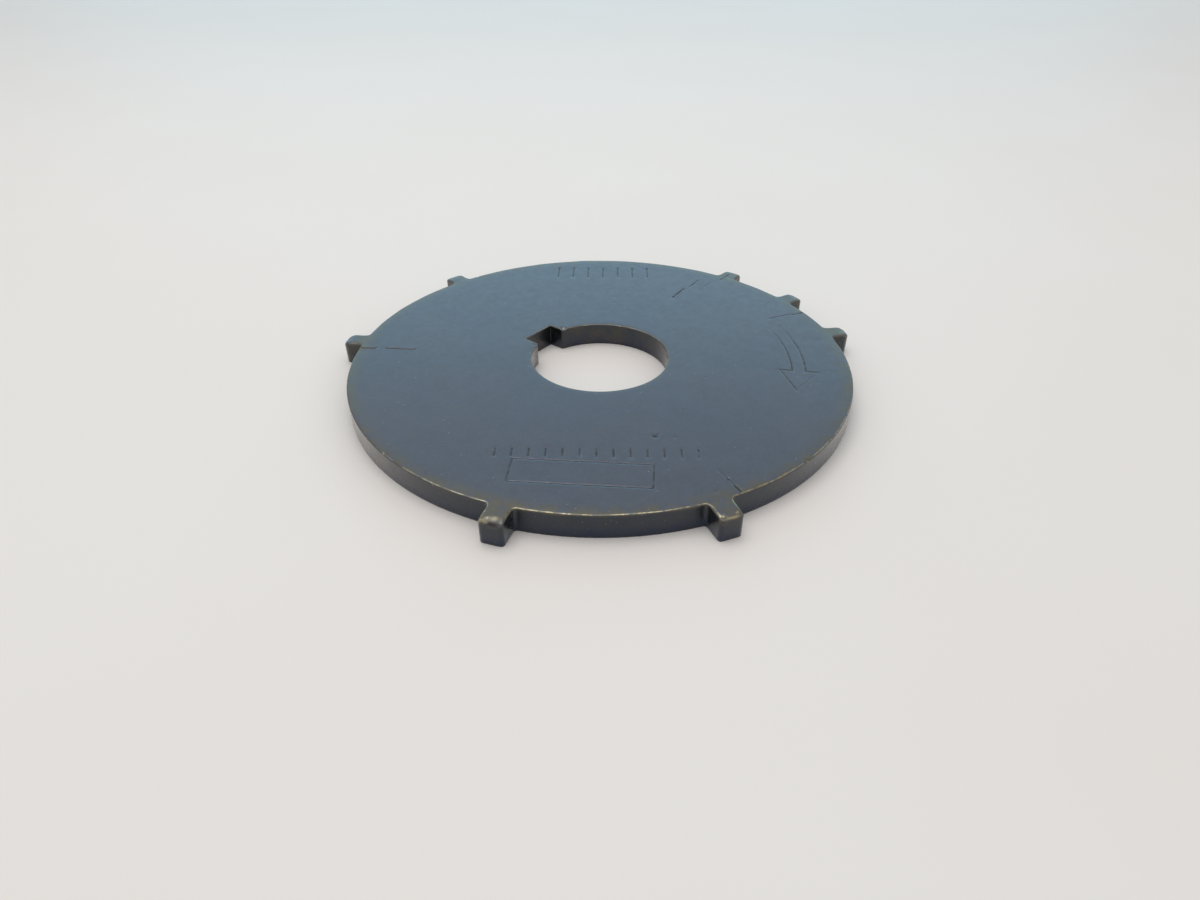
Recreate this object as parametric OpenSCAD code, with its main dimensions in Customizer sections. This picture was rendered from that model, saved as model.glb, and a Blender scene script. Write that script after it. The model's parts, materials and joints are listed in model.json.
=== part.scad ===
// Keyed index disc: one flat blanked steel plate with a keyed bore and seven
// square lugs on its rim. The plate lies on z = 0 and the bore runs along +Z.
// The keyway points along +Y, and every angle is measured from +X, anticlockwise.

/* [Plate] */
// Diameter of the round plate, without its lugs
body_d = 80; // [70:0.5:120]
// Thickness of the plate
plate_t = 3.75; // [2:0.25:6]
// Rounding that blanking leaves along the upper edges
edge_r = 0.2; // [0.05:0.05:0.4]

/* [Bore] */
// Diameter of the bore
bore_d = 22.2; // [16:0.1:30]
// Width of the keyway
key_w = 6.2; // [4:0.1:8]
// Depth of the keyway, past the bore's wall
key_depth = 2.3; // [1:0.1:3]

/* [Lugs] */
// Equal sectors round the rim, each with the same pair of lugs
sectors = 3; // [2:1:4]
// Angle from a sector's first lug to its second
pair_angle = 80; // [30:1:80]
// Angle from a sector's first lug back to the single reference lug
ref_angle = 20; // [8:1:25]
// Width of a lug
lug_w = 3.4; // [2:0.1:5]
// Height of a lug above the round rim
lug_h = 3.4; // [1.5:0.1:5]
// Corner radius of a lug's tip, seen from above
tip_r = 0.6; // [0.2:0.1:0.9]
// Fillet radius at a lug's root
root_r = 0.5; // [0.2:0.1:1]
// How far the tip's upper edge rolls down
tip_roll = 0.8; // [0.3:0.1:1.2]

/* [Stamped marks] */
// Width of a stamped line
mark_w = 0.4; // [0.2:0.05:0.8]
// Depth of a stamped line
mark_depth = 0.15; // [0.05:0.05:0.4]
// Radius that the turning arrow follows, as a share of the plate's radius
arrow_share = 0.795; // [0.7:0.005:0.82]
// Angle at which the arrow's tail starts
arrow_tail = -34; // [-40:1:-30]
// Angle that the arrow covers, clockwise from its tail to its point
arrow_turn = 38; // [30:1:45]
// Length of the arrow's head
head_len = 6; // [4:0.5:8]
// Width of the arrow's head
head_w = 6; // [4:0.5:7]
// Width of the arrow's open shaft
shaft_w = 2.1; // [1:0.1:3]

/* [Hidden] */
$fn = 96;

body_r = body_d / 2;
bore_r = bore_d / 2;
key_floor = bore_r + key_depth;
lug_r = body_r + lug_h;
arrow_r = arrow_share * body_r;
sector_angle = 360 / sectors;
first_lugs = [for (i = [0 : sectors - 1]) 120 + i * sector_angle];
lug_angles = concat(
    first_lugs,
    [for (a = first_lugs) a + pair_angle],
    [first_lugs[0] + 2 * sector_angle - ref_angle]
);
// Each timing line: its angle, then where it starts and ends as shares of the radius
timing_lines = [
    [5.5, 0.79, 0.90], [6.5, 0.65, 0.755], [0.2, 0.955, 1.04], [1.6, 0.84, 0.90],
    [124.1, 0.932, 0.99], [124, 0.765, 0.885], [244.8, 0.86, 0.99],
    [332, 0.82, 0.93], [331.4, 0.935, 0.985]
];
// Rows of plain strokes across the radius: angle, radius share, count, pitch, length
tick_rows = [[37, 0.84, 7, 2.9, 4.2], [217, 0.675, 13, 2.3, 1.8]];
// The blank stamped field: angle, radius share, length and width
field_at = [213.5, 0.79];
field_size = [19, 5];
// How deep a root fillet's circle cuts into the flank and the rim
fillet_bite = 0.05;
// How far a root fillet's inner corner lies inside the plate and inside the lug
fillet_inset = [0.9, 0.2];
eps = 0.01;

// The plate's half section, with both upper edges rounded
module plate_section() {
    translate([bore_r, 0])
        difference() {
            square([body_r - bore_r, plate_t]);
            translate([body_r - bore_r, plate_t]) upper_corner(edge_r);
            translate([0, plate_t]) mirror([1, 0]) upper_corner(edge_r);
        }
}

// What a rounding of radius r takes off a corner that points to +X and +Y
module upper_corner(r) {
    translate([-r, -r])
        difference() {
            square([r + eps, r + eps]);
            circle(r = r);
        }
}

// A lug's outline from above, pointing along +X from inside the plate
module lug_outline() {
    intersection() {
        circle(r = lug_r, $fn = 180);
        difference() {
            translate([0, -lug_w / 2]) square([lug_r, lug_w]);
            for (side = [0, 1])
                mirror([0, side])
                    translate([lug_r, lug_w / 2]) upper_corner(tip_r);
        }
    }
}

// The fillet on one flank of a lug. Its circle cuts a little into the flank and the
// rim, and its inner corner lies inside the plate, so that it joins both cleanly.
module root_fillet() {
    fillet_y = lug_w / 2 + root_r - fillet_bite;
    fillet_x = sqrt(pow(body_r + root_r - fillet_bite, 2) - pow(fillet_y, 2));
    inner = [body_r, lug_w / 2] - fillet_inset;
    difference() {
        translate(inner) square([fillet_x, fillet_y] - inner);
        translate([fillet_x, fillet_y]) circle(r = root_r);
    }
}

// One lug with rolled upper edges, pointing along +X
module lug() {
    intersection() {
        linear_extrude(plate_t) lug_outline();
        rotate_extrude()
            difference() {
                translate([body_r - 1, 0]) square([lug_h + 1, plate_t]);
                translate([lug_r, plate_t]) upper_corner(tip_roll);
            }
        translate([body_r - 1, 0, 0])
            rotate([90, 0, 90])
                linear_extrude(lug_h + 1)
                    difference() {
                        translate([-lug_w / 2, 0]) square([lug_w, plate_t]);
                        for (side = [0, 1])
                            mirror([side, 0])
                                translate([lug_w / 2, plate_t]) upper_corner(edge_r);
                    }
    }
    for (side = [0, 1])
        mirror([0, side, 0])
            linear_extrude(plate_t - edge_r / 2) root_fillet();
}

// A straight stamped line between two points of the upper face
module stroke(from, to) {
    step = to - from;
    translate([from.x, from.y, plate_t - mark_depth])
        rotate([0, 0, atan2(step.y, step.x)])
            translate([-mark_w / 2, -mark_w / 2, 0])
                cube([norm(step) + mark_w, mark_w, mark_depth + eps]);
}

// A stamped line round the axis at radius r
module arc_stroke(r, start, turn) {
    translate([0, 0, plate_t - mark_depth])
        rotate([0, 0, start])
            rotate_extrude(angle = turn)
                translate([r - mark_w / 2, 0])
                    square([mark_w, mark_depth + eps]);
}

function polar(r, a) = [r * cos(a), r * sin(a)];

// The open arrow that shows which way the disc turns: clockwise from above
module turning_arrow() {
    tip_a = arrow_tail - arrow_turn;
    base_a = tip_a + head_len / arrow_r * 180 / PI;
    for (side = [-1, 1]) {
        flank_r = arrow_r + side * shaft_w / 2;
        barb = polar(arrow_r + side * head_w / 2, base_a);
        arc_stroke(flank_r, base_a, arrow_tail - base_a);
        stroke(polar(flank_r, base_a), barb);
        stroke(barb, polar(arrow_r, tip_a));
    }
}

module timing_marks() {
    for (m = timing_lines)
        stroke(polar(m[1] * body_r, m[0]), polar(m[2] * body_r, m[0]));
}

// A row of plain strokes, each square to the row, across the radius at angle row[0]
module stroke_row(row) {
    half = [row[4] / 2, 0];
    rotate([0, 0, row[0]])
        for (i = [0 : row[2] - 1]) {
            middle = [row[1] * body_r, (i - (row[2] - 1) / 2) * row[3]];
            stroke(middle - half, middle + half);
        }
}

// A plain empty rectangle in stamped lines
module blank_field() {
    x0 = field_at[1] * body_r - field_size[1] / 2;
    x1 = x0 + field_size[1];
    half = field_size[0] / 2;
    corners = [[x0, -half], [x1, -half], [x1, half], [x0, half]];
    rotate([0, 0, field_at[0]])
        for (i = [0 : 3])
            stroke(corners[i], corners[(i + 1) % 4]);
}

module keyway() {
    translate([-key_w / 2, 0, -1]) cube([key_w, key_floor, plate_t + 2]);
}

module disc() {
    color([0.25, 0.29, 0.33])
        difference() {
            union() {
                rotate_extrude($fn = 180) plate_section();
                for (a = lug_angles)
                    rotate([0, 0, a]) lug();
            }
            keyway();
            turning_arrow();
            timing_marks();
            for (row = tick_rows)
                stroke_row(row);
            blank_field();
        }
}

disc();
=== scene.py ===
import json
import math

import bpy
import numpy as np
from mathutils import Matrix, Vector, geometry, kdtree


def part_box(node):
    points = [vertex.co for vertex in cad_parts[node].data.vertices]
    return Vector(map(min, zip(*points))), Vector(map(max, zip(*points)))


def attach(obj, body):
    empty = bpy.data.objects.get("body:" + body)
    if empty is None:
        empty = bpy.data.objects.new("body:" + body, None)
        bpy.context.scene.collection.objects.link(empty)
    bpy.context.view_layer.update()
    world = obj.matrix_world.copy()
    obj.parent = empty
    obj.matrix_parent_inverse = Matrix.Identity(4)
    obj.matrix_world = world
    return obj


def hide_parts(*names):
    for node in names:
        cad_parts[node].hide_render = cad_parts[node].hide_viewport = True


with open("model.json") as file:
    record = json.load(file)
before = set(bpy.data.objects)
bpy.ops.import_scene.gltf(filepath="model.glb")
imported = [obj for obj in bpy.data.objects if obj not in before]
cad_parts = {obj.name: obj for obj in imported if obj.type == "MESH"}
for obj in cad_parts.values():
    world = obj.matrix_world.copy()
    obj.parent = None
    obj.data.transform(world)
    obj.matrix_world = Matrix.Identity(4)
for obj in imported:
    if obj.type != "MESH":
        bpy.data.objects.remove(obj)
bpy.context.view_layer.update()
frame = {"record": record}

# ---------------------------------------------------------------- dimensions, in mm
MM = 0.001
DISC_LOW, DISC_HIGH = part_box("disc")
THICK = (DISC_HIGH.z - DISC_LOW.z) / MM
BORE_R = next(m["dims"]["r_mm"] for m in frame["record"]["mounts"] if m["name"] == "arbor_bore")
BODY_R = -DISC_LOW.y / MM        # the round rim reaches the box's front side
LUG_R = DISC_HIGH.x / MM         # the lug at 0 degrees reaches its right side
LUG_W = 3.4
ROOT_R = 0.5                     # fillet between a lug's flank and the rim
LUG_ANGLES = (0, 80, 120, 200, 240, 320, 340)
TIP_RADII = (0.9, 0.9, 1.1, 0.55, 0.55, 1.2, 1.0)  # each tip's corners, seen from above
KEY_HALF = 3.1
KEY_FLOOR = BORE_R + 2.3
KEY_CORNER = 0.05                # radius at the keyway's floor
KEY_MOUTH = 0.5                  # worn radius where the keyway opens into the bore
WEAR_AND_GLINT_ANGLE = 230.0               # the middle of the side that faces the camera, with the most wear and the painted edge highlights
WEAR_AND_GLINT_ENDS = (46, 68)             # that wear and the painted highlights end between these degrees to each side of it

# how far blanking has drawn the upper face down, and over what length it does so
RIM_DROOP, TIP_DROOP, BORE_DROOP = 0.05, 0.3, 0.03
RIM_REACH, TIP_REACH, BORE_REACH = 1.7, 1.6, 1.0

# the upper edge's rounding, as a width and a depth, and what a lug adds to both
BORE_ROLL, RIM_ROLL, LUG_ROLL = (0.17, 0.15), (0.3, 0.17), 0.2
ROLL_ANGLES = np.linspace(90, 0, 8)        # its rows, from the face round to the wall
ROLL_WEAR_AND_GLINT, ROLL_WEAR_AND_GLINT_SPREAD = 60, 24       # where on it the wear and the painted highlight line are strongest, and how widely

# the wall, whose upper zone is sheared and whose lower zone is torn
WALL_SHARES = np.linspace(1, 0, 15)[1:]    # its rows, as shares of its height
WALL_LEAD = 0.07                 # the wall steps in over this share of its height
TORN_ENDS = (0.28, 0.42)         # the torn zone ends between these shares of the height
SHEARED_IN, TORN_IN = 0.008, 0.012         # how far the wall steps in, and the torn zone again
RIB_DEPTH, TORN_DEPTH = 0.0004, 0.0012     # how uneven each zone is
FOOT = 0.07                      # the height at which the wall ends
# the rows of the lower edge: how far inwards, how high, and their share of the edge's wear and
# painted highlight
FOOT_ROWS = ((0.02, 0.02, 0.5), (0.08, 0.0, 0.25))
UNDER_RISE = 0.004               # the underside's flat lies 0.5 to 2.5 times this above its edges

# how far apart the mesh's points lie
OUTLINE_STEP, FACE_STEP, LUG_STEP, UNDER_STEP, STROKE_STEP = 0.2, 0.55, 0.3, 1.1, 0.22
CORNER_STEP = 0.04               # how near a straight stretch's last point is to its end
STROKE_CELL, MARK_CELL = 0.055, 0.06       # of two points in such a cell one is dropped
MARK_GAP, LUG_GAP, FACE_GAP, UNDER_GAP = 0.07, 0.14, 0.2, 0.45  # between points and outlines
LUG_CLEAR, FACE_CLEAR = 0.12, 0.28         # between points and the finer points near them
STROKE_SIDES = (0, 0.1, 0.19, 0.27, 0.35, 0.46)  # rows of points beside a stamped line
STROKE_ENDS = (0.15, 0.28)       # and round its ends, at the angles of the next line
STROKE_END_ANGLES = (-60, -20, 20, 60)
KNOCK_RINGS = (0.3, 0.65, 1.0, 1.4)        # rings of points round a knock, in widths of it

# stamped lines: on the CAD part's lines, with a few a little shorter and one in two parts
MARK_W = 0.5
MARK_DEPTH = 0.14
FLAT_DROP = 0.015                # the flat lies this far below the raised lips of the lines
ARROW_R = 0.795 * BODY_R
ARROW_TAIL, ARROW_TURN = -34.0, 38.0
HEAD_LEN, HEAD_W, SHAFT_W = 6.0, 6.0, 2.1
# each line: how hard it is struck, its angle, and its ends as shares of the radius
TIMING_LINES = (
    (0.4, 5.5, 0.79, 0.88), (0.6, 6.5, 0.65, 0.755), (0.4, 0.2, 0.955, 1.03),
    (0.25, 1.6, 0.84, 0.90), (0.9, 124.1, 0.932, 0.99), (0.75, 124, 0.765, 0.885),
    (0.25, 244.8, 0.86, 0.95), (0.75, 244.8, 0.96, 0.99), (0.26, 332, 0.82, 0.93),
    (0.45, 331.4, 0.935, 0.985),
)
# each row: how hard it is struck, its angle, share of the radius, count, pitch and length
TICK_ROWS = ((0.55, 37, 0.84, 7, 2.9, 4.2), (0.36, 217, 0.675, 13, 2.3, 1.8))
# the arrow's shaft from its head to its tail, its barbs, and its inner and outer slants
SHAFT_FORCES = (0.5, 0.46, 0.42, 0.38, 0.34, 0.28, 0.2, 0.1)
BARB_FORCE, SLANT_FORCES = 0.4, (0.3, 0.1)
CURVE_POINTS = 6                 # points along one of the shaft's strokes
FIELD_FORCE = 0.32
FIELD_AT = (213.5, 0.79)
FIELD_SIZE = (19.0, 5.0)

# small knocks: angle, radius, width, depth, and tone from -1, dark, to 1, bare metal.
# Dark tones are dirt in pits, but at the lug tips near 200 and 238 degrees painted shade;
# bright tones are partly nicks and partly painted glints.
KNOCKS = (
    (236.4, 0.609 * BODY_R, 0.60, 0.11, -0.8), (237.8, 0.600 * BODY_R, 0.30, 0.07, -0.6),
    (242.0, 0.640 * BODY_R, 0.45, 0.03, -0.15), (244.9, 0.918 * BODY_R, 0.26, 0.14, -0.9),
    (254.9, 0.510 * BODY_R, 0.20, 0.08, -0.8), (205.9, 0.822 * BODY_R, 0.14, 0.02, 0.7),
    # the knock at 170.8 degrees is a painted glint on the rim
    (240.6, 0.960 * BODY_R, 0.45, 0.05, -0.2), (170.8, BODY_R - 0.15, 0.28, 0.10, 1.0),
    (163.5, BODY_R - 0.1, 0.30, 0.08, 0.7), (185.5, BODY_R, 0.35, 0.06, 0.6),
    (262.0, BODY_R, 0.45, 0.10, 0.6), (272.0, BODY_R, 0.30, 0.08, 0.3),
    (302.0, BODY_R, 0.35, 0.10, 0.5), (75.0, BODY_R, 0.40, 0.10, 0.4),
    (140.0, BODY_R, 0.35, 0.08, 0.4), (71.5, BORE_R + 0.4, 0.60, 0.30, 0.8),
    (108.5, BORE_R + 0.3, 0.55, 0.18, 0.3), (20.0, BORE_R, 0.35, 0.06, 0.5),
    # at the lug tip near 200 degrees: painted shade on the drooped tip, and painted glints
    (200.4, LUG_R + 0.3, 1.30, 0.20, -1.0), (198.0, LUG_R - 0.1, 0.28, 0.08, 1.0),
    (200.6, LUG_R - 1.0, 0.70, 0.03, 0.6), (199.3, LUG_R - 0.8, 0.22, 0.02, 0.9),
    # at the lug tip near 238 degrees: painted shade on a chip, and painted glints above it
    (238.1, LUG_R + 0.2, 0.80, 0.40, -1.0), (238.5, LUG_R - 0.7, 0.40, 0.04, 1.0),
    (239.2, LUG_R - 0.5, 0.30, 0.03, 0.8), (321.5, LUG_R, 0.60, 0.25, 0.2),
    (110.0, 0.700 * BODY_R, 0.30, 0.03, 0.1), (30.0, 0.500 * BODY_R, 0.30, 0.03, 0.1),
    (285.0, 0.450 * BODY_R, 0.35, 0.03, 0.1),
)


# ---------------------------------------------------------------- small helpers
def polar(r, degrees):
    return np.array([r * math.cos(math.radians(degrees)), r * math.sin(math.radians(degrees))])


def turned(points, degrees):
    c, s = math.cos(math.radians(degrees)), math.sin(math.radians(degrees))
    return points @ np.array([[c, s], [-s, c]])


def lengths(rows):
    return np.linalg.norm(rows, axis=1)


def degrees_away(points, angle):
    """How many degrees round the axis each point lies from an angle."""
    return np.abs((np.degrees(np.arctan2(points[:, 1], points[:, 0])) - angle + 180) % 360 - 180)


def ease(x, low=0.0, high=1.0):
    t = np.clip((x - low) / (high - low), 0, 1)
    return t * t * (3 - 2 * t)


def waves(points, size, seed, count=24):
    """Smooth noise of about unit size, from plane waves about size mm long."""
    rng = np.random.default_rng(seed)
    total = np.zeros(len(points))
    for _ in range(count):
        a, phase = rng.uniform(0, 2 * math.pi, 2)
        k = 2 * math.pi / (size * rng.uniform(0.6, 1.7))
        total += np.cos(k * (points @ [math.cos(a), math.sin(a)]) + phase)
    return total * math.sqrt(2 / count)


# ---------------------------------------------------------------- outlines
def arc(cx, cy, r, start, end):
    """Points on an arc from start to end, in degrees, without its last point."""
    n = max(2, round(abs(math.radians(end - start)) * r / OUTLINE_STEP))
    a = np.radians(np.linspace(start, end, n, endpoint=False))
    return np.stack([cx + r * np.cos(a), cy + r * np.sin(a)], axis=1)


def line(p, q):
    """Points from p to q, without q, with one close to each end to keep the corners crisp."""
    p, q = np.array(p, float), np.array(q, float)
    length = float(np.linalg.norm(q - p))
    n = max(1, round(length / OUTLINE_STEP))
    close = CORNER_STEP / length
    shares = np.concatenate([[0], np.linspace(close, 1 - close, n)])
    return p + (q - p) * shares[:, None]


def lug_path(tip_r):
    """One lug that points along +X, from its first root to its last, and the angle it takes."""
    half, fy = LUG_W / 2, LUG_W / 2 + ROOT_R
    fx = math.sqrt((BODY_R + ROOT_R) ** 2 - fy**2)
    root = math.degrees(math.atan2(fy, fx))
    cy = half - tip_r
    cx = math.sqrt((LUG_R - tip_r) ** 2 - cy**2)
    tip = math.degrees(math.atan2(cy, cx))
    path = [
        arc(fx, -fy, ROOT_R, 180 - root, 90),
        line((fx, -half), (cx, -half)),
        arc(cx, -cy, tip_r, -90, -tip),
        arc(0, 0, LUG_R, -tip, tip),
        arc(cx, cy, tip_r, tip, 90),
        line((cx, half), (fx, half)),
        arc(fx, fy, ROOT_R, -90, -180 + root),
    ]
    return np.vstack(path), root


def outer_outline():
    """The rim and its lugs."""
    path = []
    for a, after, tip_r in zip(LUG_ANGLES, LUG_ANGLES[1:] + (LUG_ANGLES[0] + 360,), TIP_RADII):
        lug, root = lug_path(tip_r)
        path += [turned(lug, a), arc(0, 0, BODY_R, a + root, after - root)]
    return np.vstack(path)


def inner_outline():
    """The bore and its keyway, which points along +Y."""
    mx = KEY_HALF + KEY_MOUTH
    my = math.sqrt((BORE_R + KEY_MOUTH) ** 2 - mx**2)
    mouth = math.degrees(math.atan2(my, mx))
    kx, ky = KEY_HALF - KEY_CORNER, KEY_FLOOR - KEY_CORNER
    return np.vstack([
        arc(mx, my, KEY_MOUTH, mouth + 180, 180),
        line((KEY_HALF, my), (KEY_HALF, ky)),
        arc(kx, ky, KEY_CORNER, 0, 90),
        line((kx, KEY_FLOOR), (-kx, KEY_FLOOR)),
        arc(-kx, ky, KEY_CORNER, 90, 180),
        line((-KEY_HALF, ky), (-KEY_HALF, my)),
        arc(-mx, my, KEY_MOUTH, 0, -mouth),
        arc(0, 0, BORE_R, 180 - mouth, 360 + mouth),
    ])


def out_of_steel(points, side):
    """Unit normals of a closed outline that point out of the steel; side is 1 or -1."""
    ahead = np.roll(points, -1, axis=0) - points
    length = lengths(ahead)[:, None]
    ahead /= length
    along = ahead * np.roll(length, 1, axis=0) + np.roll(ahead, 1, axis=0) * length
    along /= lengths(along)[:, None]
    return side * np.stack([along[:, 1], -along[:, 0]], axis=1)


# ---------------------------------------------------------------- stamped lines
def curved_stroke(r, start, end):
    return [polar(r, a) for a in np.linspace(start, end, CURVE_POINTS)]


def strokes():
    """Every stamped line: how hard it is struck, and its points."""
    tip = ARROW_TAIL - ARROW_TURN
    base = tip + math.degrees(HEAD_LEN / ARROW_R)
    made = []
    ends = np.linspace(base, ARROW_TAIL, len(SHAFT_FORCES) + 1)
    for side, slant_force in zip((-1, 1), SLANT_FORCES):
        flank = ARROW_R + side * SHAFT_W / 2
        barb = polar(ARROW_R + side * HEAD_W / 2, base)
        for force, start, end in zip(SHAFT_FORCES, ends, ends[1:]):
            made.append((force, curved_stroke(flank, start, end)))
        made.append((BARB_FORCE, [polar(flank, base), barb]))
        made.append((slant_force, [barb, polar(ARROW_R, tip)]))
    for force, angle, start, end in TIMING_LINES:
        made.append((force, [polar(start * BODY_R, angle), polar(end * BODY_R, angle)]))
    for force, angle, share, count, pitch, length in TICK_ROWS:
        for i in range(count):
            y = (i - (count - 1) / 2) * pitch
            tick = [(share * BODY_R + side * length / 2, y) for side in (-1, 1)]
            made.append((force, list(turned(np.array(tick), angle))))
    x0 = FIELD_AT[1] * BODY_R - FIELD_SIZE[1] / 2
    x1, half = x0 + FIELD_SIZE[1], FIELD_SIZE[0] / 2
    corners = turned(np.array([[x0, -half], [x1, -half], [x1, half], [x0, half]]), FIELD_AT[0])
    made.append((FIELD_FORCE, [*corners, corners[0]]))
    return made


STROKES = strokes()


def to_strokes(points):
    """The distance from each point to the nearest stamped line, and that line's force."""
    nearest, forces = np.full(len(points), np.inf), np.zeros(len(points))
    for force, stroke in STROKES:
        for p, q in zip(stroke, stroke[1:]):
            step = q - p
            at = np.clip((points - p) @ step / (step @ step), 0, 1)[:, None]
            away = lengths(points - p - at * step)
            forces[away < nearest] = force
            nearest = np.minimum(nearest, away)
    return nearest, forces


def groove_and_lip(points):
    """How deep the stamped lines are here, from 0 to 1, and how high the lip beside them."""
    away, force = to_strokes(points)
    uneven = 1 + 0.16 * waves(points, 1.6, seed=3)
    half = MARK_W / 2 * (1 + 0.08 * waves(points, 0.9, seed=4))
    groove = (1 - ease(away, 0.15 * half, 1.15 * half)) * uneven
    lip = 0.08 * np.exp(-(((away - 1.45 * half) / (0.4 * half)) ** 2))
    return force * groove, force * lip


# ---------------------------------------------------------------- the upper face
def knocked(points):
    """How far knocks have lowered the face here, and how dark and how bare they leave it: dirt and
    nicks, with painted shade and painted glints at two lug tips and at the rim.
    """
    depth, dark, bare_and_glint = np.zeros((3, len(points)))
    for angle, r, width, deep, tone in KNOCKS:
        away = lengths(points - polar(r, angle)) / width
        core = np.exp(-2 * away**2)
        raised = 0.2 * np.exp(-8 * (away - 1.15) ** 2)
        depth += deep * (core - raised)
        dark = np.maximum(dark, max(-tone, 0) * core)
        bare_and_glint = np.maximum(bare_and_glint, max(tone, 0) * core)
    return depth, dark, bare_and_glint


def darkness(points):
    """How dark dirt has left the stamped lines and the pits, from 0 to 1, with painted shade on
    two lug tips.
    """
    return np.clip(np.maximum(1.5 * groove_and_lip(points)[0], knocked(points)[1]), 0, 1)


def droop(points):
    """How far blanking has drawn the upper face down near the rim, the tips and the bore."""
    r = lengths(points)
    rim = RIM_DROOP * np.clip((r - BODY_R + RIM_REACH) / RIM_REACH, 0, 1) ** 2
    tip = TIP_DROOP * np.clip((r - LUG_R + TIP_REACH) / TIP_REACH, 0, 1) ** 2
    bore = BORE_DROOP * np.clip((BORE_R + BORE_REACH - r) / BORE_REACH, 0, 1) ** 2
    return rim + tip + bore


def face_height(points):
    groove, lip = groove_and_lip(points)
    height = THICK - FLAT_DROP - droop(points) - MARK_DEPTH * (groove - lip)
    height += 0.0035 * waves(points, 14, seed=5) + 0.0012 * waves(points, 3.5, seed=6)
    return np.minimum(height - knocked(points)[0], THICK)


def closeness(points):
    """1 at the rim and on the lugs, falling to 0 over the next stretch inwards."""
    return ease(lengths(points), BODY_R - 2.6, BODY_R - 0.2)


def at_front(points):
    """1 round the side of the plate that faces the camera, where the wear and the painted
    highlights are strongest, falling to 0 away from it.
    """
    return 1 - ease(degrees_away(points, WEAR_AND_GLINT_ANGLE), *WEAR_AND_GLINT_ENDS)


def near_lugs(points):
    """Which of the points are on a lug or close to its root."""
    off = np.min([degrees_away(points, a) for a in LUG_ANGLES], axis=0)
    return (lengths(points) > BODY_R - 1.2) & (off < 4)


# ---------------------------------------------------------------- the mesh and its points
class Mesh:
    """Vertices in mm with their values, and faces between them. The first three say how worn, how
    much wall and how dirty a place is; the wear holds painted glints and a painted edge highlight
    on the camera side, the dirt painted shade at two lug tips. edge says how near the rim a face
    is, and how olive a wall is, on the side walls partly a painted floor reflection."""

    VALUES = ("wear", "wall", "mark", "edge")

    def __init__(self):
        self.points, self.faces, self.values, self.count = [], [], [], 0

    def add(self, flat, z, wear=0.0, wall=0.0, mark=0.0, edge=1.0):
        """Adds one vertex per row of flat, and returns their numbers."""
        n = len(flat)
        values = (wear, wall, mark, edge)
        self.points.append(np.column_stack([flat, np.broadcast_to(z, n)]))
        self.values.append(np.column_stack([np.broadcast_to(v, n) for v in values]))
        self.count += n
        return np.arange(self.count - n, self.count)

    def band(self, first, second, side):
        """Quads between two closed rows of the same length."""
        quads = np.column_stack([first, np.roll(first, -1), np.roll(second, -1), second])
        self.faces += (quads if side > 0 else quads[:, ::-1]).tolist()

    def fill(self, rings, inside, height, upward, **values):
        """Triangles between an outer and an inner closed row, with vertices at the points."""
        flat = np.vstack(self.points)[:, :2]
        number = np.concatenate([*rings, self.add(inside, height, **values)])
        flat = np.vstack([flat, inside])
        ends, start = [], 0
        for ring in rings:
            n = len(ring)
            ends += [(start + i, start + (i + 1) % n) for i in range(n)]
            start += n
        spots = [Vector(p) for p in flat[number]]
        _, _, triangles, origins, _, _ = geometry.delaunay_2d_cdt(spots, ends, [], 0, 1e-6)
        triangles = number[np.array([ids[0] for ids in origins])[np.array(triangles)]]
        middles = flat[triangles].mean(axis=1)
        keep = within(middles, flat[rings[0]]) & ~within(middles, flat[rings[1]])
        triangles = triangles[keep]
        self.faces += (triangles if upward else triangles[:, ::-1]).tolist()


def within(points, loop):
    """Which of the points are inside a closed outline."""
    x, y = points.T
    inside = np.zeros(len(points), bool)
    for (x0, y0), (x1, y1) in zip(loop, np.roll(loop, -1, axis=0)):
        if y0 != y1:
            left = x < x0 + (y - y0) * (x1 - x0) / (y1 - y0)
            inside ^= ((y0 > y) != (y1 > y)) & left
    return inside


def tree_of(points):
    tree = kdtree.KDTree(len(points))
    for i, p in enumerate(points):
        tree.insert((p[0], p[1], 0), i)
    tree.balance()
    return tree


def apart(points, tree, gap):
    """Which of the points lie farther than gap from every point of the tree."""
    return np.array([tree.find((p[0], p[1], 0))[2] > gap for p in points], bool)


def thinned(points, cell):
    """The points with those dropped that share a small cell with an earlier one."""
    _, first = np.unique(np.round(points / cell).astype(int), axis=0, return_index=True)
    return points[np.sort(first)]


def grid(step):
    """A hexagonal grid over the whole plate, a little uneven so that it shows no rows."""
    n = int(LUG_R / step) + 2
    i, j = np.meshgrid(np.arange(-n, n + 1), np.arange(-n, n + 1))
    points = np.column_stack([((i + 0.5 * (j % 2)) * step).ravel(), (j * step * 0.866).ravel()])
    points += np.random.default_rng(1).uniform(-0.12, 0.12, points.shape) * step
    r = lengths(points)
    return points[(r < LUG_R) & (r > BORE_R)]


def stroke_points():
    """Rows of points along each side of each stamped line, and a few round its ends."""
    rows = []
    for _, s in STROKES:
        for p, q in zip(s, s[1:]):
            step = q - p
            length = float(np.linalg.norm(step))
            u = step / length
            n = np.array([-u[1], u[0]])
            along = np.linspace(0, length, max(2, round(length / STROKE_STEP) + 1))
            for off in STROKE_SIDES:
                for side in ((1, -1) if off else (1,)):
                    rows.append(p + along[:, None] * u + side * off * n)
        for end, before in ((s[0], s[1]), (s[-1], s[-2])):
            heading = math.degrees(math.atan2(*(end - before)[::-1]))
            for off in STROKE_ENDS:
                rows.append(np.array([end + polar(off, heading + a) for a in STROKE_END_ANGLES]))
    return thinned(np.vstack(rows), STROKE_CELL)


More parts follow.
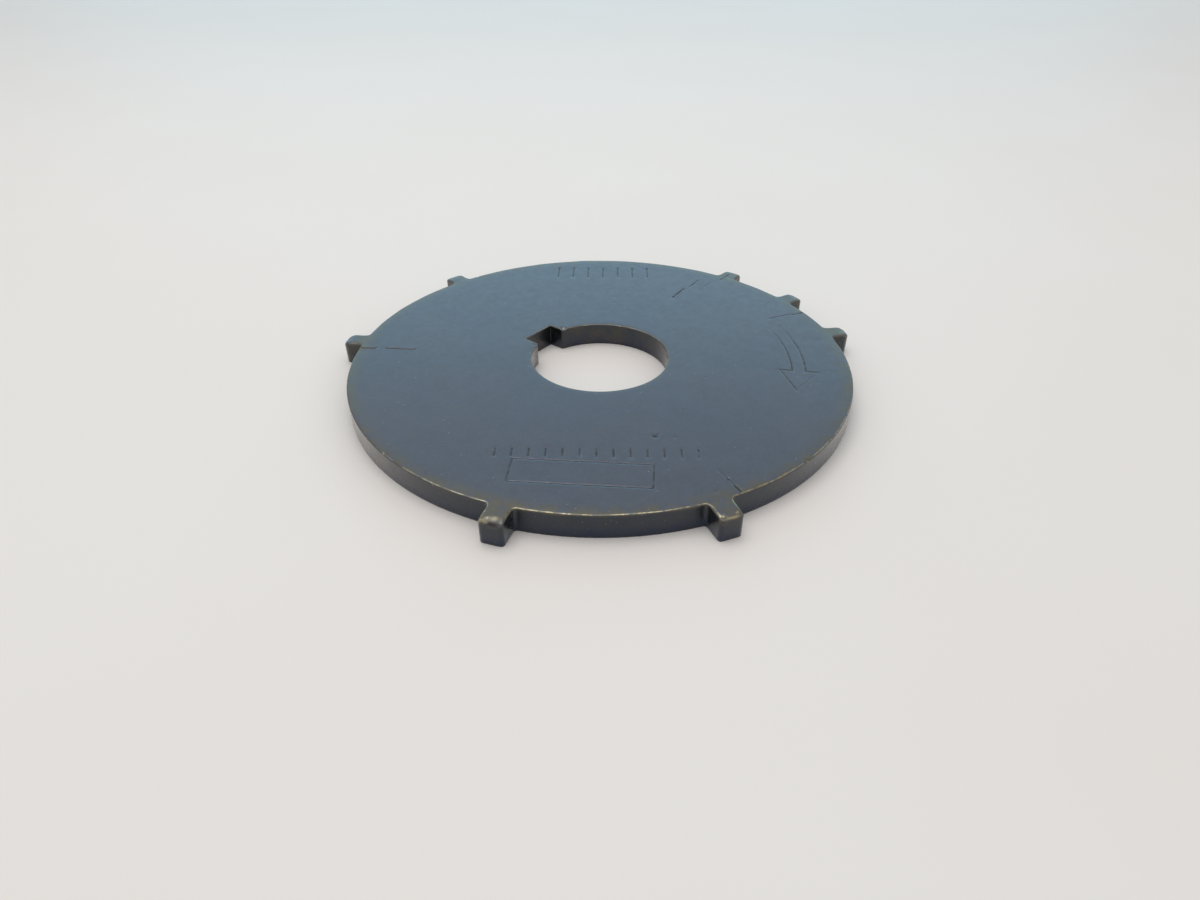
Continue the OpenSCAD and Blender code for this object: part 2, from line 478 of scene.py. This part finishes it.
def knock_points():
    """Rings of points round each knock."""
    rows = []
    for angle, r, width, _, _ in KNOCKS:
        for k in KNOCK_RINGS:
            around = np.linspace(0, 360, round(6 + 8 * k), endpoint=False)
            rows.append(np.array([polar(r, angle) + polar(k * width, a) for a in around]))
    return np.vstack(rows)


# ---------------------------------------------------------------- the plate's sides
def rolled_edge(outline, outer):
    """The width and depth of the rounding along an outline's upper edge."""
    if not outer:
        return [np.full(len(outline), size) for size in BORE_ROLL]
    on_lug = ease(lengths(outline), BODY_R, BODY_R + 1.2)
    uneven = 1 + 0.12 * waves(outline, 6, seed=8)
    width, depth = (size + LUG_ROLL * on_lug for size in RIM_ROLL)
    return width * np.minimum(uneven, 1.1), depth * uneven


def wall_offset(around, share, seed):
    """How far the wall stands out from its outline, always below 0, at a place round it and
    a height from 0 to 1."""
    torn = 1 - ease(share, *TORN_ENDS)
    ribs = waves(np.column_stack([around, 0.18 * share * THICK]), 0.7, seed)
    rough = waves(np.column_stack([around, share * THICK]), 0.9, seed + 1)
    return -SHEARED_IN - RIB_DEPTH * ribs * (1 - torn) - torn * (TORN_IN + TORN_DEPTH * rough)


def side_of_plate(mesh, outline, side):
    """The rounded upper edge, the wall and the lower edge along one outline. side is 1 for
    the rim and -1 for the bore. Returns the rows that the upper and lower faces join."""
    outer = side > 0
    normal = out_of_steel(outline, side)
    width, depth = rolled_edge(outline, outer)
    around = np.concatenate([[0], np.cumsum(lengths(np.roll(outline, -1, axis=0) - outline))[:-1]])
    # the edge's wear, which also paints the highlight line along the edge, strongest on the side
    # that faces the camera
    edge_wear_and_glint = 0.75 + 0.22 * waves(outline, 3, seed=9) + 0.12 * waves(outline, 0.6, seed=10)
    # brown is 1 away from the camera side and 0.5 in the bore; on the walls it sets the olive
    # clouds, partly a painted reflection of the floor
    brown = 1 - at_front(outline) if outer else 0.5
    edge_wear_and_glint = np.clip(edge_wear_and_glint, 0, 1) * (1 - 0.65 * brown)
    rows = []
    for phi in ROLL_ANGLES:
        flat = outline - normal * (width * (1 - math.cos(math.radians(phi))))[:, None]
        top = face_height(flat) - depth * (1 - math.sin(math.radians(phi)))
        _, dark, bare_and_glint = knocked(flat)
        wear = edge_wear_and_glint * math.exp(-(((phi - ROLL_WEAR_AND_GLINT) / ROLL_WEAR_AND_GLINT_SPREAD) ** 2)) * (1 - dark)
        rows.append(mesh.add(flat, top, wear=np.maximum(wear, bare_and_glint), wall=1 - phi / 90,
                             mark=darkness(flat)))
    for share in WALL_SHARES:
        off = wall_offset(around, np.full(len(outline), share), 20 if outer else 25)
        off *= ease(1 - share, 0, WALL_LEAD)
        flat = outline + normal * off[:, None]
        rows.append(mesh.add(flat, FOOT + (top - FOOT) * share, wall=1.0, edge=brown))
    for inward, z, wear_share in FOOT_ROWS:
        rows.append(mesh.add(flat - normal * inward, z, wear=wear_share * edge_wear_and_glint,
                             wall=1.0 if z else 0.0))
    for a, b in zip(rows, rows[1:]):
        mesh.band(a, b, -side)
    return rows[0], rows[-1]


def build_disc():
    mesh = Mesh()
    top_out, low_out = side_of_plate(mesh, outer_outline(), 1)
    top_in, low_in = side_of_plate(mesh, inner_outline(), -1)
    flat = np.vstack(mesh.points)[:, :2]
    rim = tree_of(np.vstack([flat[top_out], flat[top_in]]))

    def on_face(points, gap):
        points = points[within(points, flat[top_out]) & ~within(points, flat[top_in])]
        return points[apart(points, rim, gap)]

    marks = thinned(on_face(np.vstack([stroke_points(), knock_points()]), MARK_GAP), MARK_CELL)
    lugs = on_face(grid(LUG_STEP), LUG_GAP)
    lugs = lugs[near_lugs(lugs)]
    fine = np.vstack([marks, lugs[apart(lugs, tree_of(marks), LUG_CLEAR)]])
    plain = on_face(grid(FACE_STEP), FACE_GAP)
    inside = np.vstack([fine, plain[apart(plain, tree_of(fine), FACE_CLEAR)]])
    # wear near the lug tips, stronger on the side that faces the camera, and partly a painted
    # highlight there
    tip = ease(lengths(inside), LUG_R - TIP_REACH, LUG_R - 0.4)
    tip *= np.clip(0.5 + 0.45 * waves(inside, 1.5, seed=12), 0, 1)
    tip *= 0.3 + 0.7 * at_front(inside)
    _, dark, bare_and_glint = knocked(inside)
    mesh.fill([top_out, top_in], inside, face_height(inside), True,
              wear=np.maximum(tip * (1 - dark), bare_and_glint), mark=darkness(inside),
              edge=closeness(inside))

    under = on_face(grid(UNDER_STEP), UNDER_GAP)
    level = UNDER_RISE * (1.5 + np.clip(waves(under, 12, seed=15), -1, 1))
    mesh.fill([low_out, low_in], under, level, False, edge=closeness(under))
    return mesh


def as_object(name, mesh):
    data = bpy.data.meshes.new(name)
    data.from_pydata((np.vstack(mesh.points) * MM).tolist(), [], mesh.faces)
    values = np.vstack(mesh.values)
    for k, word in enumerate(Mesh.VALUES):
        layer = data.attributes.new(word, "FLOAT", "POINT")
        layer.data.foreach_set("value", np.ascontiguousarray(values[:, k], dtype=np.float32))
    data.validate()
    data.update()
    data.shade_smooth()
    made = bpy.data.objects.new(name, data)
    bpy.context.scene.collection.objects.link(made)
    return made


# ---------------------------------------------------------------- materials
def rgb(r, g, b):
    return (r, g, b, 1.0)


FACE_BLUE, FACE_GREY = rgb(0.103, 0.118, 0.148), rgb(0.112, 0.120, 0.146)
FACE_DARK, FACE_PALE = rgb(0.090, 0.100, 0.122), rgb(0.135, 0.142, 0.162)
WALL_BLUE, WALL_GREEN = rgb(0.008, 0.020, 0.052), rgb(0.012, 0.022, 0.036)
WALL_OLIVE_AND_REFLECTION = rgb(0.060, 0.050, 0.032)
STAIN, GROOVE = rgb(0.135, 0.128, 0.100), rgb(0.052, 0.047, 0.046)
BARE_AND_GLINT_GREY, BARE_AND_GLINT_GOLD = rgb(0.32, 0.315, 0.25), rgb(0.36, 0.31, 0.18)
DUST, DUST_COVER = rgb(0.42, 0.43, 0.42), 0.45
FLOOR_TONES = rgb(0.780, 0.756, 0.732), rgb(0.786, 0.768, 0.748)


class Nodes:
    """A short way to build the nodes of a material."""

    def __init__(self, owner):
        owner.use_nodes = True
        self.tree = owner.node_tree

    def add(self, kind, inputs=None, **settings):
        node = self.tree.nodes.new(kind)
        for key, value in settings.items():
            setattr(node, key, value)
        for key, value in (inputs or {}).items():
            self.put(node.inputs[key], value)
        return node

    def put(self, socket, value):
        if isinstance(value, bpy.types.NodeSocket):
            self.tree.links.new(value, socket)
        else:
            socket.default_value = value

    def place(self, offset=0.0):
        """The place on the object, in metres, moved by the offset."""
        where = self.add("ShaderNodeTexCoord").outputs["Object"]
        moved = self.add("ShaderNodeMapping", {"Vector": where, "Location": (offset,) * 3})
        return moved.outputs[0]

    def noise(self, size, detail=3.0, rough=0.55, offset=0.0):
        """Cloudy noise from 0 to 1, with features about size mm across."""
        found = self.add("ShaderNodeTexNoise", {
            "Vector": self.place(offset), "Scale": 1 / (size * MM),
            "Detail": detail, "Roughness": rough,
        })
        return found.outputs["Fac"]

    def ramp(self, value, low, high, out_low=0.0, out_high=1.0):
        """A smooth step from out_low to out_high while the value goes from low to high."""
        found = self.add("ShaderNodeMapRange", {
            "Value": value, "From Min": low, "From Max": high,
            "To Min": out_low, "To Max": out_high,
        }, interpolation_type="SMOOTHSTEP")
        return found.outputs["Result"]

    def math(self, operation, a, b):
        return self.add("ShaderNodeMath", {0: a, 1: b}, operation=operation).outputs[0]

    def mix(self, share, a, b):
        """Colour a, with that share of colour b. The colour sockets are 6 and 7, and 2."""
        found = self.add("ShaderNodeMix", {"Factor": share, 6: a, 7: b}, data_type="RGBA")
        return found.outputs[2]

    def value(self, name):
        """One of the mesh's values."""
        return self.add("ShaderNodeAttribute", attribute_name=name).outputs["Fac"]

    def dots(self, size, radius, share, offset=0.0):
        """Dots of that radius in that share of cells of the size; radius is a share of it."""
        cell = self.add("ShaderNodeTexVoronoi",
                        {"Vector": self.place(offset), "Scale": 1 / (size * MM)})
        near = self.ramp(cell.outputs["Distance"], radius * 0.5, radius, 1.0, 0.0)
        pick = self.add("ShaderNodeSeparateColor", {"Color": cell.outputs["Color"]})
        return self.math("MULTIPLY", near, self.math("LESS_THAN", pick.outputs[0], share))


def face_colour(n, edge):
    """Cloudy blue and grey, with dark and pale specks and brown stains, most at the rim."""
    face = n.mix(n.ramp(n.noise(22, 2.0), 0.3, 0.7), FACE_BLUE, FACE_GREY)
    dark = n.ramp(n.noise(2.8, 4.0, offset=3), 0.35, 0.7, 0.0, 0.3)
    pale = n.ramp(n.noise(0.4, 3.0, 0.7, 9), 0.4, 0.75, 0.0, 0.4)
    stain = n.ramp(n.noise(1.2, 4.0, 0.65, 2), 0.56, 0.72, 0.0, 0.3)
    rim = n.math("MULTIPLY", edge, n.ramp(n.noise(1.7, 4.0, 0.6, 6), 0.32, 0.60, 0.0, 0.85))
    brown = n.math("MAXIMUM", stain, rim)
    for share, colour in ((dark, FACE_DARK), (pale, FACE_PALE), (brown, STAIN)):
        face = n.mix(share, face, colour)
    return face


def wall_colour(n, edge):
    """Almost black, bluer towards the bottom and greener higher up, with olive clouds as far as
    edge allows: an olive tint, and on the side walls partly a painted reflection of the floor.
    """
    height = n.add("ShaderNodeSeparateXYZ", {0: n.place()}).outputs["Z"]
    wall = n.mix(n.ramp(height, 0.2 * THICK * MM, 0.6 * THICK * MM), WALL_BLUE, WALL_GREEN)
    clouds = n.ramp(n.noise(2.5, 3.0, offset=5), 0.25, 0.75)
    olive_and_reflection = n.math("MULTIPLY", clouds, n.ramp(edge, 0.0, 1.0, 0.2, 1.0))
    return n.mix(olive_and_reflection, wall, WALL_OLIVE_AND_REFLECTION)


def bare_and_glint_colour(n):
    """Bare steel, grey, and golden along the rim on the side that faces the camera, where it has
    the most wear; the same colours paint the glints and the highlight line there.
    """
    worn_way = (*polar(1, WEAR_AND_GLINT_ANGLE), 0)
    forward = n.add("ShaderNodeVectorMath", {0: n.place(), 1: worn_way},
                    operation="DOT_PRODUCT").outputs["Value"]
    gold = n.math("MULTIPLY", n.ramp(forward, 0.78 * BODY_R * MM, 0.9 * BODY_R * MM),
                  n.ramp(n.noise(3, 2.0, offset=8), 0.3, 0.6, 0.4, 1.0))
    return n.mix(gold, BARE_AND_GLINT_GREY, BARE_AND_GLINT_GOLD)


def steel_colour(n, bare_and_glint):
    """The oxide on faces and walls, dirt and painted shade in the marks, bare metal and painted
    glints, and a little dust.
    """
    edge = n.value("edge")
    wall = n.ramp(n.value("wall"), 0.4, 1.0)
    colour = n.mix(wall, face_colour(n, edge), wall_colour(n, edge))
    colour = n.mix(n.ramp(n.value("mark"), 0.1, 0.7, 0.0, 0.9), colour, GROOVE)
    # bare metal, which also paints the glints and the highlight line along the edges
    colour = n.mix(bare_and_glint, colour, bare_and_glint_colour(n))
    dust = n.math("MAXIMUM", n.dots(0.9, 0.13, 0.1), n.dots(0.43, 0.16, 0.06, 4))
    return n.mix(n.math("MULTIPLY", dust, DUST_COVER), colour, DUST)


def blackened_steel():
    material = bpy.data.materials.new("blackened_steel")
    n = Nodes(material)
    shader = n.tree.nodes["Principled BSDF"]
    wall = n.value("wall")
    # where the steel is bare: the worn places, with the painted glints and painted edge highlight
    # in them
    bare_and_glint = n.math("MULTIPLY", n.value("wear"), n.ramp(n.noise(0.9, 4.0, 0.7, 7), 0.2, 0.55))
    bare_and_glint = n.ramp(bare_and_glint, 0.2, 0.9)
    rough = n.ramp(n.noise(1.4, 4.0, 0.6, 11), 0.25, 0.75, 0.33, 0.41)
    smooth = n.math("MULTIPLY", n.math("MAXIMUM", bare_and_glint, wall), 0.1)
    calm = n.ramp(wall, 0.0, 1.0, 1.0, 0.3)
    normal = None
    for height, strength in ((n.noise(0.3, 3.0, 0.7, 9), 0.12), (n.noise(1.2, 4.0, 0.6, 13), 0.2)):
        bump = n.add("ShaderNodeBump", {"Height": n.math("MULTIPLY", height, calm),
                                        "Strength": strength, "Distance": 0.02 * MM})
        if normal:
            n.put(bump.inputs["Normal"], normal)
        normal = bump.outputs[0]
    settings = {
        "Base Color": steel_colour(n, bare_and_glint),
        "Metallic": 1.0,
        "Roughness": n.math("SUBTRACT", rough, smooth),
        "Coat Weight": n.ramp(wall, 0.3, 0.9, 0.0, 1.0),
        "Coat Roughness": 0.3,
        "Normal": normal,
    }
    for name, value in settings.items():
        n.put(shader.inputs[name], value)
    return material


def pale_floor():
    material = bpy.data.materials.new("pale_floor")
    n = Nodes(material)
    shader = n.tree.nodes["Principled BSDF"]
    n.put(shader.inputs["Base Color"], n.mix(n.ramp(n.noise(80, 3.0), 0.3, 0.7), *FLOOR_TONES))
    n.put(shader.inputs["Roughness"], 0.6)
    return material


# ---------------------------------------------------------------- the piece
disc = as_object("index_disc", build_disc())
disc.data.materials.append(blackened_steel())
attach(disc, "root")
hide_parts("disc")

# ---------------------------------------------------------------- stage, light and camera
# The camera looks towards this angle, anticlockwise from +X
LOOK_ANGLE = 38.0
BACK = Vector((math.cos(math.radians(LOOK_ANGLE)), math.sin(math.radians(LOOK_ANGLE)), 0))
RIGHT = Vector((BACK.y, -BACK.x, 0))
UP = Vector((0, 0, 1))
EDGE_R = BODY_R - 0.17           # the upper face's visible edge
CAMERA_BACK = 2.825 * EDGE_R
CAMERA_UP = 1.558 * EDGE_R + THICK
CAMERA_PITCH = 35.78
SENSOR = 36.0
LENS = 0.652 * SENSOR
NEAREST_SEEN = 0.005             # in metres
FLOOR_HALF = 3.0                 # in metres
ROOM = rgb(0.72, 0.70, 0.69)
# a soft lamp and a cool window low at the back: place in view, in mm, size in metres,
# power in watts, and colour
LAMPS = {
    "overhead": ((-80, 60, 500), (0.35, 0.35), 0.75, (1.0, 0.98, 0.95)),
    "window": ((0, 1100, 360), (1.5, 0.5), 2.4, (0.2, 0.74, 1.0)),
}


def in_view(right, back, up):
    """A place in metres, given to the camera's right, away from it and upwards, in mm."""
    return (RIGHT * right + BACK * back + UP * up) * MM


def lay_floor():
    sides = ((-1, -1), (1, -1), (1, 1), (-1, 1))
    data = bpy.data.meshes.new("floor")
    corners = [(x * FLOOR_HALF, y * FLOOR_HALF, DISC_LOW.z) for x, y in sides]
    data.from_pydata(corners, [], [(0, 1, 2, 3)])
    data.materials.append(pale_floor())
    floor = bpy.data.objects.new("floor", data)
    bpy.context.scene.collection.objects.link(floor)


def place_camera():
    camera = bpy.data.objects.new("camera", bpy.data.cameras.new("camera"))
    bpy.context.scene.collection.objects.link(camera)
    camera.data.sensor_width = SENSOR
    camera.data.lens = LENS
    camera.data.clip_start = NEAREST_SEEN
    camera.location = in_view(0, -CAMERA_BACK, CAMERA_UP)
    pitch = math.radians(CAMERA_PITCH)
    aim = BACK * math.cos(pitch) - UP * math.sin(pitch)
    camera.rotation_euler = aim.to_track_quat("-Z", "Y").to_euler()
    bpy.context.scene.camera = camera


def soft_light(name, place, size, watts, colour):
    """A rectangular area light that faces the origin and that the camera doesn't see."""
    data = bpy.data.lights.new(name, "AREA")
    data.shape = "RECTANGLE"
    data.size, data.size_y = size
    data.energy = watts
    data.color = colour
    light = bpy.data.objects.new(name, data)
    light.location = place
    light.rotation_euler = (-place).to_track_quat("-Z", "Y").to_euler()
    light.visible_camera = False
    bpy.context.scene.collection.objects.link(light)


def light_room():
    """Even pale light all round, and the lamps."""
    world = bpy.data.worlds.new("pale_room")
    world.use_nodes = True
    world.node_tree.nodes["Background"].inputs["Color"].default_value = ROOM
    bpy.context.scene.world = world
    for name, (place, size, watts, colour) in LAMPS.items():
        soft_light(name, in_view(*place), size, watts, colour)


lay_floor()
place_camera()
light_room()
bpy.context.scene.view_settings.view_transform = "Standard"
